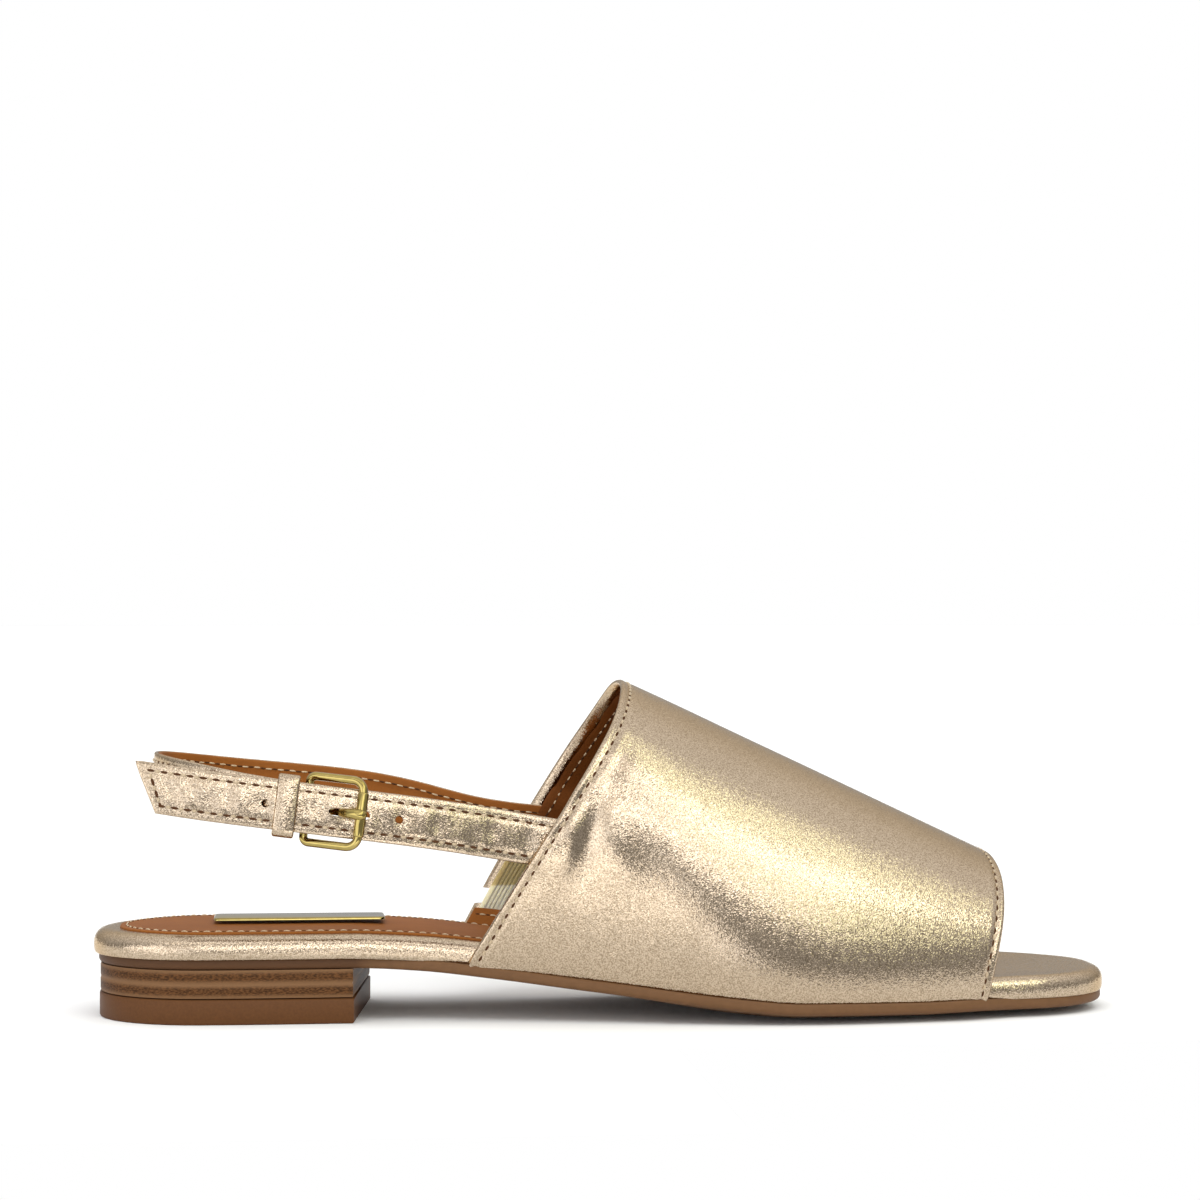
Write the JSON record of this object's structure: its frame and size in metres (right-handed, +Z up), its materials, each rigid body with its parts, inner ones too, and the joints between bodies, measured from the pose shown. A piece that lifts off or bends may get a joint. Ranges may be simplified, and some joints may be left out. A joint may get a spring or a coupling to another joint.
{
  "type": "ankle strap sandal",
  "caption": "Flat peep-toe sandal with a wide gold foil-leather vamp, a strap round the heel that fastens with a side buckle, a padded footbed and a low stacked heel.",
  "frame": {"origin": "on the floor, on the underside of the heel lift, under the middle of the heel", "axes": "+X forward from heel to toe, +Y to the inner (medial) side of this right shoe, +Z up"},
  "size_m": [0.2558, 0.089, 0.0839],
  "materials": {
    "foil_leather": "champagne gold foil, fine pebble grain",
    "lining_leather": "smooth tan, satin",
    "outsole_resin": "brown, satin",
    "stacked_fibre": "brown stacked-leather look with thin lighter lines",
    "lift_rubber": "plain brown, matte",
    "elastic_web": "ribbed woven elastic, matte",
    "brass": "polished pale brass"
  },
  "bodies": {
    "root": {"outsole": "outsole_resin", "heel_stack": "stacked_fibre", "heel_lift": "lift_rubber", "footbed": "foil_leather", "insole_sock": "lining_leather", "sock_plate": "brass", "upper": "foil_leather", "elastic_gore": "elastic_web", "lateral_strap": "foil_leather", "heel_strap": "foil_leather", "strap_keeper": "foil_leather", "buckle_frame": "brass", "buckle_prong": "brass"}
  },
  "joints": []
}
